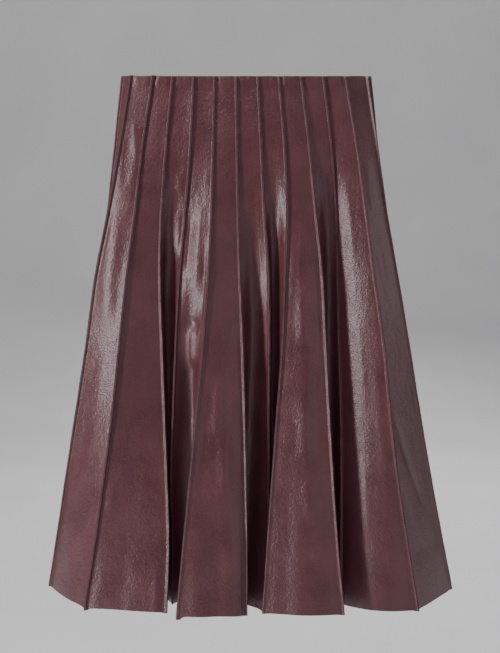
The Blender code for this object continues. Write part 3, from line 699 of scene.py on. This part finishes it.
def gore_surface(gore, rows, columns):
    """(middle surface, outward normals, cloth coordinates, wear) of a gore, with all its relief."""
    plan, heights = gore_grid(gore, rows, columns)
    count = plan.shape[1]
    below = np.repeat(heights[:, None], count, axis=1)
    points = np.dstack((plan, -below))
    steps = np.hypot(*np.diff(plan, axis=1).transpose(2, 0, 1))
    run = np.concatenate((np.zeros((len(heights), 1)), np.cumsum(steps, axis=1)), axis=1)
    first, last = LIP_POINTS, count - 1 - LIP_POINTS
    width = run[:, last] - run[:, first]
    across = np.clip((run - run[:, first : first + 1]) / width[:, None], 0, 1)
    inside = np.zeros(count)
    inside[first : last + 1] = 1
    seam_after = (gore + 1) % GORES
    width = width[:, None]
    from_first, from_last = across * width, (1 - across) * width
    from_seam = np.minimum(from_first, from_last)
    calm = ramp(from_seam / SEAM_CALM)
    lift = (crease_heights(gore, across, below, width) + hide_noise(gore, across, below, width)) * calm
    lift *= ramp(WAIST_START + below / WAIST_HEIGHT)
    puckers = seam_puckers(gore, from_first, below) + seam_puckers(seam_after, from_last, below)
    lift += puckers * ramp(from_seam / PUCKER_START)
    lift += FACING_STEP * (1 - ramp((below - FACING_DEPTH) / FACING_EDGE + 0.5)) * calm
    lift *= inside
    points += surface_normals(points) * lift[:, :, None]
    points[:, :, 2] += hem_wave(gore + across, below)
    nearer_first = from_first < from_last
    points[:, :, 2] += tab_shift(gore, below) * np.exp(-from_first / TAB_REACH) * nearer_first
    points[:, :, 2] += tab_shift(seam_after, below) * np.exp(-from_last / TAB_REACH) * ~nearer_first
    normals = surface_normals(points)
    cloth = np.dstack((run - width / 2 + CLOTH_STEP * gore, -below))
    wear = np.zeros((len(heights), count))
    wear[:, : len(LIP_WEAR)] = LIP_WEAR
    wear[:, -len(LIP_WEAR) :] = LIP_WEAR[::-1]
    return points, normals, cloth, wear


# ---- meshes
def plain_mesh(name, vertices, faces):
    mesh = bpy.data.meshes.new(name)
    mesh.from_pydata(vertices, [], faces)
    mesh.shade_smooth()
    mesh.validate()
    return mesh


def boundary(rows, count):
    """Index pairs (row, column) round the edge of a grid."""
    top = [(0, j) for j in range(count)]
    right = [(i, count - 1) for i in range(1, rows)]
    bottom = [(rows - 1, j) for j in range(count - 2, -1, -1)]
    left = [(i, 0) for i in range(rows - 2, 0, -1)]
    return top + right + bottom + left


def shell_mesh(name, points, normals, cloth, wear, thickness, bulge):
    """A closed shell round a middle surface, with rounded edges. Faces: 0 outside, 1 inside, 2 edge."""
    rows, count = points.shape[:2]
    outer = points + normals * thickness / 2
    inner = points - normals * thickness / 2
    edge = boundary(rows, count)
    rim = []
    for i, j in edge:
        inward_i = 1 if i == 0 else -1 if i == rows - 1 else 0
        inward_j = 1 if j == 0 else -1 if j == count - 1 else 0
        away = np.zeros(3)
        for di, dj in ((inward_i, 0), (0, inward_j)):
            if di or dj:
                step = points[i, j] - points[i + di, j + dj]
                away += step / np.linalg.norm(step)
        rim.append(points[i, j] + bulge * away / np.linalg.norm(away))
    size = rows * count
    vertices = np.concatenate((outer.reshape(-1, 3), inner.reshape(-1, 3), np.array(rim)))
    i, j = np.meshgrid(np.arange(rows - 1), np.arange(count - 1), indexing="ij")
    here = (i * count + j).ravel()
    outside = np.stack((here, here + count, here + count + 1, here + 1), 1)
    inside = outside[:, ::-1] + size
    at = np.array([i * count + j for i, j in edge])
    after = np.roll(at, -1)
    middle = 2 * size + np.arange(len(edge))
    middle_after = np.roll(middle, -1)
    over = np.stack((at, after, middle_after, middle), 1)
    under = np.stack((middle, middle_after, after + size, at + size), 1)
    faces = np.concatenate((outside, inside, over, under))
    mesh = plain_mesh(name, vertices.tolist(), faces.tolist())
    kinds = np.repeat((0, 1, 2), (len(outside), len(inside), len(over) + len(under)))
    mesh.polygons.foreach_set("material_index", kinds.astype(np.int32))
    flat = cloth.reshape(-1, 2)
    corner_cloth = np.concatenate((flat, flat, flat[at]))
    layer = mesh.uv_layers.new(name="cloth")
    corners = np.empty(len(mesh.loops), np.int32)
    mesh.loops.foreach_get("vertex_index", corners)
    layer.data.foreach_set("uv", corner_cloth[corners].astype(np.float32).ravel())
    worn = mesh.attributes.new("wear", "FLOAT", "POINT")
    wear = wear.ravel()
    worn.data.foreach_set("value", np.concatenate((wear, wear, wear[at])).astype(np.float32))
    return mesh


def new_object(name, data):
    made = bpy.data.objects.new(name, data)
    bpy.context.scene.collection.objects.link(made)
    return made


def new_piece(name, mesh, materials, body):
    for material in materials:
        mesh.materials.append(material)
    piece = new_object(name, mesh)
    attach(piece, body)
    return piece


# ---- materials
class Nodes:
    """Short calls that add and join shader nodes."""

    def __init__(self, name):
        self.material = bpy.data.materials.new(name)
        self.material.use_nodes = True
        self.tree = self.material.node_tree
        self.shader = self.tree.nodes["Principled BSDF"]

    def add(self, kind, inputs=None, **settings):
        node = self.tree.nodes.new("ShaderNode" + kind)
        for key, value in settings.items():
            setattr(node, key, value)
        for key, value in (inputs or {}).items():
            if isinstance(value, bpy.types.NodeSocket):
                self.tree.links.new(value, node.inputs[key])
            else:
                node.inputs[key].default_value = value
        return node

    def cloth(self, scale):
        place = self.add("UVMap", uv_map="cloth").outputs["UV"]
        return self.add("Mapping", {"Vector": place, "Scale": scale}).outputs["Vector"]

    def objects(self, scale):
        place = self.add("TexCoord").outputs["Object"]
        return self.add("Mapping", {"Vector": place, "Scale": scale}).outputs["Vector"]

    def noise(self, vector, scale, detail=3.0, rough=0.55):
        inputs = {"Vector": vector, "Scale": scale, "Detail": detail, "Roughness": rough}
        return self.add("TexNoise", inputs).outputs["Fac"]

    def cells(self, vector, scale, feature="F1"):
        made = self.add("TexVoronoi", {"Vector": vector, "Scale": scale}, feature=feature)
        return made.outputs["Distance"]

    def ranged(self, value, source, target=(0.0, 1.0)):
        """A value spread from the source's range over the target's."""
        inputs = {"Value": value, "From Min": source[0], "From Max": source[1]}
        inputs.update({"To Min": target[0], "To Max": target[1]})
        return self.add("MapRange", inputs).outputs["Result"]

    def math(self, operation, a, b):
        return self.add("Math", {0: a, 1: b}, operation=operation).outputs[0]

    def mixed(self, share, first, second):
        inputs = {0: share}
        for index, colour in ((6, first), (7, second)):
            inputs[index] = (*colour, 1.0) if isinstance(colour, tuple) else colour
        return self.add("Mix", inputs, data_type="RGBA").outputs[2]

    def attribute(self, name):
        return self.add("Attribute", attribute_name=name).outputs["Fac"]

    def bump(self, height, distance, before=None):
        inputs = {"Height": height, "Distance": distance, "Strength": 1.0}
        if before is not None:
            inputs["Normal"] = before
        return self.add("Bump", inputs).outputs["Normal"]

    def finish(self, colour, roughness, normal=None, **constants):
        self.tree.links.new(colour, self.shader.inputs["Base Color"])
        self.tree.links.new(roughness, self.shader.inputs["Roughness"])
        if normal is not None:
            self.tree.links.new(normal, self.shader.inputs["Normal"])
        for key, value in constants.items():
            self.shader.inputs[key.replace("_", " ")].default_value = value
        return self.material


# Parts of a noise's range over which a look changes
WIDE, CRISP, UPPER = (0.3, 0.7), (0.35, 0.65), (0.45, 0.75)
EVEN = (1, 1, 1)

# Relief of the leather's face, coarsest first, below its grain
FACE_RELIEF = (
    # pattern per metre across and down, detail, roughness, depth (m)
    ((70, 45, 1), 2.0, 0.55, 0.0008),
    ((170, 125, 1), 3.0, 0.55, 0.0004),
    ((190, 330, 1), 4.0, 0.6, 0.00028),
)
GRAIN_CLUSTERS, GRAIN_PEBBLES, GRAIN_DEPTH = 400.0, 640.0, 0.00030
FACE_DEEP, FACE_RICH = (0.059, 0.0163, 0.0208), (0.086, 0.0244, 0.0313)
FACE_PALE, FACE_WORN = (0.113, 0.039, 0.0465), (0.22, 0.115, 0.125)
FACE_GLOSS = (0.30, 0.43)  # roughness from its smoothest patches to its dullest


def leather_material():
    """Burgundy garment leather: pebbled grain, short cross wrinkles, semi-gloss, worn at the lips' tips."""
    n = Nodes("burgundy_leather")
    flat = n.cloth(EVEN)
    clusters = n.noise(flat, GRAIN_CLUSTERS, 4.0)
    patches = n.noise(flat, 22.0)
    colour = n.mixed(n.ranged(patches, WIDE), FACE_DEEP, FACE_RICH)
    colour = n.mixed(n.ranged(clusters, UPPER, (0.0, 0.45)), colour, FACE_PALE)
    rubbed = n.ranged(n.noise(flat, 160.0), CRISP, (0.45, 0.9))
    colour = n.mixed(n.math("MULTIPLY", n.attribute("wear"), rubbed), colour, FACE_WORN)
    rough = n.ranged(n.math("ADD", clusters, patches), (0.7, 1.3), FACE_GLOSS)
    normal = None
    for pattern, detail, roughness, depth in FACE_RELIEF:
        normal = n.bump(n.noise(n.cloth(pattern), 1.0, detail, roughness), depth, normal)
    for grain in (clusters, n.cells(flat, GRAIN_PEBBLES, "SMOOTH_F1")):
        normal = n.bump(grain, GRAIN_DEPTH, normal)
    return n.finish(colour, rough, normal, Specular_IOR_Level=0.5, Coat_Weight=0.06, Coat_Roughness=0.3)


def suede_material():
    """The flesh side of the hide: matt, short nap, a little greyer."""
    n = Nodes("flesh_side")
    flat = n.cloth(EVEN)
    nap = n.noise(flat, 900.0, 5.0, 0.7)
    patches = n.noise(flat, 60.0, 4.0)
    colour = n.mixed(n.ranged(patches, WIDE), (0.040, 0.015, 0.018), (0.068, 0.028, 0.032))
    colour = n.mixed(n.ranged(nap, (0.4, 0.7), (0.0, 0.6)), colour, (0.095, 0.045, 0.050))
    rough = n.ranged(nap, WIDE, (0.85, 0.98))
    normal = n.bump(nap, 0.0004, n.bump(patches, 0.0006))
    return n.finish(colour, rough, normal, Specular_IOR_Level=0.2, Sheen_Weight=0.15, Sheen_Roughness=0.5)


def cut_edge_material():
    """The raw cut edge: fibrous, a little lighter and rougher than the face."""
    n = Nodes("cut_edge")
    fibres = n.noise(n.objects(EVEN), 1400.0, 4.0, 0.7)
    stain = n.noise(n.objects(EVEN), 120.0)
    colour = n.mixed(n.ranged(fibres, CRISP), (0.050, 0.017, 0.021), (0.115, 0.052, 0.058))
    colour = n.mixed(n.ranged(stain, (0.45, 0.7), (0.0, 0.7)), colour, (0.038, 0.012, 0.015))
    rough = n.ranged(fibres, WIDE, (0.55, 0.8))
    return n.finish(colour, rough, n.bump(fibres, 0.0003), Specular_IOR_Level=0.35)


def thread_material():
    """Twisted polyester thread, a shade darker than the leather."""
    n = Nodes("thread")
    ply = n.noise(n.objects(EVEN), 2600.0, 2.0)
    colour = n.mixed(n.ranged(ply, CRISP), (0.030, 0.008, 0.011), (0.085, 0.026, 0.032))
    rough = n.ranged(ply, WIDE, (0.4, 0.6))
    return n.finish(colour, rough, n.bump(ply, 0.0002), Specular_IOR_Level=0.4)


def tape_material():
    """Woven zip tape: fine warp and weft."""
    n = Nodes("zip_tape_weave")
    flat = n.cloth(EVEN)
    parts = n.add("SeparateXYZ", {"Vector": flat}).outputs
    threads = []
    for axis, pitch in (("X", 0.0006), ("Y", 0.0005)):
        turns = n.math("MULTIPLY", parts[axis], 2 * math.pi / pitch)
        threads.append(n.math("SINE", turns, 0.0))
    weave = n.ranged(n.math("MULTIPLY", *threads), (-1.0, 1.0))
    fuzz = n.noise(flat, 700.0, 4.0)
    colour = n.mixed(weave, (0.022, 0.006, 0.008), (0.060, 0.018, 0.023))
    colour = n.mixed(n.ranged(fuzz, UPPER, (0.0, 0.5)), colour, (0.085, 0.035, 0.040))
    rough = n.ranged(fuzz, WIDE, (0.7, 0.92))
    return n.finish(colour, rough, n.bump(weave, 0.00025), Specular_IOR_Level=0.3)


def metal_material(name, light, dark, scratches):
    """Dark nickel plate: brushed, with small wear marks."""
    n = Nodes(name)
    brushed = n.noise(n.objects((900, 900, 90)), 1.0)
    spots = n.noise(n.objects(EVEN), scratches)
    colour = n.mixed(n.ranged(spots, (0.35, 0.7)), dark, light)
    worn = n.ranged(spots, (0.4, 0.7), (0.0, 0.08))
    rough = n.math("ADD", n.ranged(brushed, WIDE, (0.16, 0.30)), worn)
    return n.finish(colour, rough, n.bump(brushed, 0.00004), Metallic=1.0)


LEATHER_FACES = (leather_material(), suede_material(), cut_edge_material())
THREAD = thread_material()
TAPE = tape_material()
NICKEL = metal_material("dark_nickel", (0.34, 0.31, 0.31), (0.20, 0.18, 0.185), 700.0)
COIL = metal_material("zip_coil_nickel", (0.22, 0.20, 0.20), (0.12, 0.11, 0.112), 1500.0)


SEAM_LINES = []  # (points, normals) of the outer side of each lip, for its stitches


def make_gore(gore):
    front = gore < FRONT_COUNT
    rows, columns = (FRONT_ROWS, FRONT_COLUMNS) if front else (HIDDEN_ROWS, HIDDEN_COLUMNS)
    points, normals, cloth, wear = gore_surface(gore, rows, columns)
    name = GORE_NAMES[gore]
    mesh = shell_mesh(name + "_leather", points, normals, cloth, wear, LEATHER, RIM_BULGE)
    piece = new_piece(name + "_leather", mesh, LEATHER_FACES, "skirt")
    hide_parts(name)
    for column, seam in ((2, gore), (-3, (gore + 1) % GORES)):
        if seam != ZIP_SEAM:
            out = normals[:, column]
            SEAM_LINES.append((front, points[:, column] + out * LEATHER / 2, out))


for gore in range(GORES):
    make_gore(gore)


# ---- stitching
STITCH_PITCH = 0.0042
STITCH_LENGTH = 0.0031
STITCH_START, STITCH_END = 0.0025, 0.004  # from the waist edge and the hem
STITCH_PROBE = 0.0005
THREAD_RADIUS = 0.00024
THREAD_LIFTS = ((0.0, -0.55), (0.5, 0.62), (1.0, -0.55))  # place along it, and height in radii


def stitch_row(line, normals, vertices, faces):
    """Stitches along a lip: each a short thread that rises from one hole and sinks into the next."""
    run = run_along(line)
    starts = np.arange(STITCH_START, run[-1] - STITCH_END, STITCH_PITCH)
    rings = []
    for share, lift in THREAD_LIFTS:
        distance = starts + share * STITCH_LENGTH
        out = unit(points_at(distance, run, normals))
        centre = points_at(distance, run, line) + out * lift * THREAD_RADIUS
        before, after = (points_at(distance + step, run, line) for step in (-STITCH_PROBE, STITCH_PROBE))
        side = unit(np.cross(out, unit(after - before)))
        for a, b in ((1, 0), (0, 1), (-1, 0), (0, -1)):
            rings.append(centre + THREAD_RADIUS * (a * side + b * out))
    made = np.stack(rings, 1).reshape(-1, 3)
    first = sum(len(part) for part in vertices)
    quads = [(3, 2, 1, 0), (8, 9, 10, 11)]
    for ring in (0, 4):
        for k in range(4):
            j = (k + 1) % 4
            quads.append((ring + k, ring + j, ring + 4 + j, ring + 4 + k))
    base = first + 12 * np.arange(len(starts))
    vertices.append(made)
    faces.append((base[:, None, None] + np.array(quads)[None]).reshape(-1, 4))


def make_stitching(name, front):
    vertices, faces = [], []
    for is_front, line, normals in SEAM_LINES:
        if is_front == front:
            stitch_row(line, normals, vertices, faces)
    mesh = plain_mesh(name, np.concatenate(vertices).tolist(), np.concatenate(faces).tolist())
    new_piece(name, mesh, (THREAD,), "skirt")


make_stitching("stitching_front", True)
make_stitching("stitching_sides_and_back", False)


# ---- the zip
TAPE_ROWS, TAPE_COLUMNS = 70, 8
TAPE_WEAVE = 0.0008  # thickness of the woven tape
TAPE_BULGE = 0.0001
TOOTH_PITCH = 0.0016
TOOTH_SIDES = 6
TOOTH_RADIUS = 0.00038
TOOTH_REACH = 0.0027  # the most that a loop reaches from its tape's edge
TOOTH_SHARE = 0.62  # and the most of the way to the other tape
TOOTH_ROOT = 0.0009  # how far it starts inside the edge
FIRST_TOOTH, LAST_TOOTH = 0.004, 0.002  # from the tape's ends
TOOTH_PATH = (
    # place along a loop, how far it stands out (m), thickness in radii
    (0.0, 0.0, 0.8), (0.45, 0.00025, 1.0), (0.86, 0.0003, 1.35), (1.0, 0.0, 0.7),
)


def tape_surface(gore, from_end):
    """(points, normals, cloth coordinates) of a tape on the inside of a gore, beside the zip."""
    lines = [section.line(gore) for section in SECTIONS]
    heights = np.linspace(TAPE_TOP, ZIP_LENGTH, TAPE_ROWS + 1)
    places = np.linspace(TAPE_EDGE, TAPE_WIDTH, TAPE_COLUMNS + 1)
    grid = []
    for below in heights:
        line = at_height(lines, (below / LENGTH) ** (1 / KEY_POWER))
        if from_end:
            line = line[::-1]
        strip = points_at(places, run_along(line), line)
        grid.append(strip[::-1] if from_end else strip)
    grid = np.array(grid)
    points = np.dstack((grid, np.repeat(-heights[:, None], len(places), axis=1)))
    normals = surface_normals(points)
    points -= normals * (LEATHER / 2 + TAPE_ROOM + TAPE_THICK / 2)
    cloth = np.dstack((np.repeat(places[None], len(heights), axis=0), points[:, :, 2]))
    return points, normals, cloth


def make_tape(name, gore, from_end):
    points, normals, cloth = tape_surface(gore, from_end)
    wear = np.zeros(points.shape[:2])
    mesh = shell_mesh(name + "_woven", points, normals, cloth, wear, TAPE_WEAVE, TAPE_BULGE)
    piece = new_piece(name + "_woven", mesh, (TAPE, TAPE, TAPE), "skirt")
    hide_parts(name)
    edge = -1 if from_end else 0
    return points[:, edge], normals[:, edge]


def make_teeth(sides):
    """The coil's loops: from each tape's edge a loop reaches to the seam's middle, the two sides in turn."""
    vertices, faces = [], []
    for number, (line, normals) in enumerate(sides):
        run = run_along(line)
        other = sides[1 - number][0]
        first_place = FIRST_TOOTH + number * TOOTH_PITCH / 2
        for place in np.arange(first_place, run[-1] - LAST_TOOTH, TOOTH_PITCH):
            root, far, out = (Vector(points_at([place], run, values)[0]) for values in (line, other, normals))
            reach = (far - root).normalized()
            out = (out - out.project(reach)).normalized()
            up = reach.cross(out)
            tip = root + reach * min(TOOTH_REACH, (far - root).length * TOOTH_SHARE)
            start = root - reach * TOOTH_ROOT
            first = len(vertices)
            for share, lift, size in TOOTH_PATH:
                centre = start.lerp(tip, share) + out * lift
                for k in range(TOOTH_SIDES):
                    angle = 2 * math.pi * k / TOOTH_SIDES
                    away = math.cos(angle) * out + math.sin(angle) * up
                    vertices.append(centre + TOOTH_RADIUS * size * away)
            last = first + TOOTH_SIDES * (len(TOOTH_PATH) - 1)
            for ring in range(first, last, TOOTH_SIDES):
                for k in range(TOOTH_SIDES):
                    a, b = ring + k, ring + (k + 1) % TOOTH_SIDES
                    faces.append((a, b, b + TOOTH_SIDES, a + TOOTH_SIDES))
            faces.append(tuple(range(first + TOOTH_SIDES - 1, first - 1, -1)))
            faces.append(tuple(range(last, last + TOOTH_SIDES)))
    mesh = plain_mesh("zip_coil", [tuple(v) for v in vertices], faces)
    new_piece("zip_coil", mesh, (COIL,), "skirt")


make_teeth([make_tape("zip_tape_left", ZIP_SEAM - 1, True), make_tape("zip_tape_right", ZIP_SEAM, False)])
for name in ("zip_slider", "zip_pull"):
    for place in frame["nodes"][name].material_slots:
        place.material = NICKEL


# ---- stage, light and camera
FLOOR_HEIGHT = -1.06
BACKDROP = 4.4
SWEEP = 1.5
SWEEP_STEPS = 16
STAGE_REACH = 4.4
FLOOR_COLOURS = ((0.70, 0.70, 0.71), (0.76, 0.76, 0.765))
SKIRT_MIDDLE = (0.0, 0.0, -0.35)
WHITE, WARM_WHITE = (1.0, 1.0, 1.0), (1.0, 0.99, 0.98)
SOFTBOXES = (
    # name, place, target, width and height, power (W), colour
    ("softbox_left", (-2.2, -1.4, 0.2), SKIRT_MIDDLE, (0.24, 2.2), 75.0, WARM_WHITE),
    ("softbox_front", (-0.6, -1.7, 3.0), SKIRT_MIDDLE, (1.8, 1.4), 70.0, WHITE),
    ("panel_right", (2.6, -0.3, 0.1), SKIRT_MIDDLE, (1.8, 2.2), 18.0, WHITE),
    ("fill_right", (1.35, -2.2, 0.0), SKIRT_MIDDLE, (0.6, 2.4), 7.0, WHITE),
    ("softbox_back", (0.5, 3.0, 0.9), SKIRT_MIDDLE, (1.6, 1.6), 42.0, WHITE),
    ("top_light", (0.0, 0.6, 2.2), (0.0, 0.2, -0.4), (1.8, 1.2), 22.0, WHITE),
)
AIR_COLOUR = (0.9, 0.93, 1.0, 1.0)
AIR_STRENGTH = 0.11
CAMERA_DISTANCE = 2.5
CAMERA_ASIDE = 0.005
CAMERA_PITCH = 7.51
CAMERA_LENS = 104.64
CAMERA_SENSOR = 36.0


def floor_material():
    n = Nodes("studio_floor")
    cloud = n.noise(n.objects(EVEN), 3.0, 2.0)
    colour = n.mixed(n.ranged(cloud, WIDE), *FLOOR_COLOURS)
    return n.finish(colour, n.ranged(cloud, WIDE, (0.75, 0.85)), Specular_IOR_Level=0.2)


def make_stage():
    """A floor that sweeps up into a backdrop."""
    profile = [(-STAGE_REACH, 0.0), (BACKDROP - SWEEP, 0.0)]
    for step in range(1, SWEEP_STEPS + 1):
        angle = math.pi / 2 * step / SWEEP_STEPS
        profile.append((BACKDROP - SWEEP + SWEEP * math.sin(angle), SWEEP * (1 - math.cos(angle))))
    profile.append((BACKDROP, STAGE_REACH))
    vertices = [(x, y, FLOOR_HEIGHT + z) for y, z in profile for x in (-STAGE_REACH, STAGE_REACH)]
    faces = [(2 * i, 2 * i + 1, 2 * i + 3, 2 * i + 2) for i in range(len(profile) - 1)]
    mesh = plain_mesh("studio", vertices, faces)
    mesh.materials.append(floor_material())
    new_object("studio", mesh)


def add_lights():
    for name, place, target, size, power, colour in SOFTBOXES:
        light = bpy.data.lights.new(name, "AREA")
        light.shape = "RECTANGLE"
        light.size, light.size_y = size
        light.energy = power
        light.color = colour
        lamp = new_object(name, light)
        lamp.location = place
        lamp.rotation_euler = (Vector(target) - Vector(place)).to_track_quat("-Z", "Y").to_euler()
    world = bpy.data.worlds.new("studio_air")
    world.use_nodes = True
    air = world.node_tree.nodes["Background"]
    air.inputs["Color"].default_value = AIR_COLOUR
    air.inputs["Strength"].default_value = AIR_STRENGTH
    bpy.context.scene.world = world


def add_camera():
    data = bpy.data.cameras.new("camera")
    data.sensor_width = CAMERA_SENSOR
    data.lens = CAMERA_LENS
    camera = new_object("camera", data)
    camera.location = (CAMERA_ASIDE, -CAMERA_DISTANCE, 0.0)
    camera.rotation_euler = (math.radians(90 - CAMERA_PITCH), 0.0, 0.0)
    bpy.context.scene.camera = camera


make_stage()
add_lights()
add_camera()
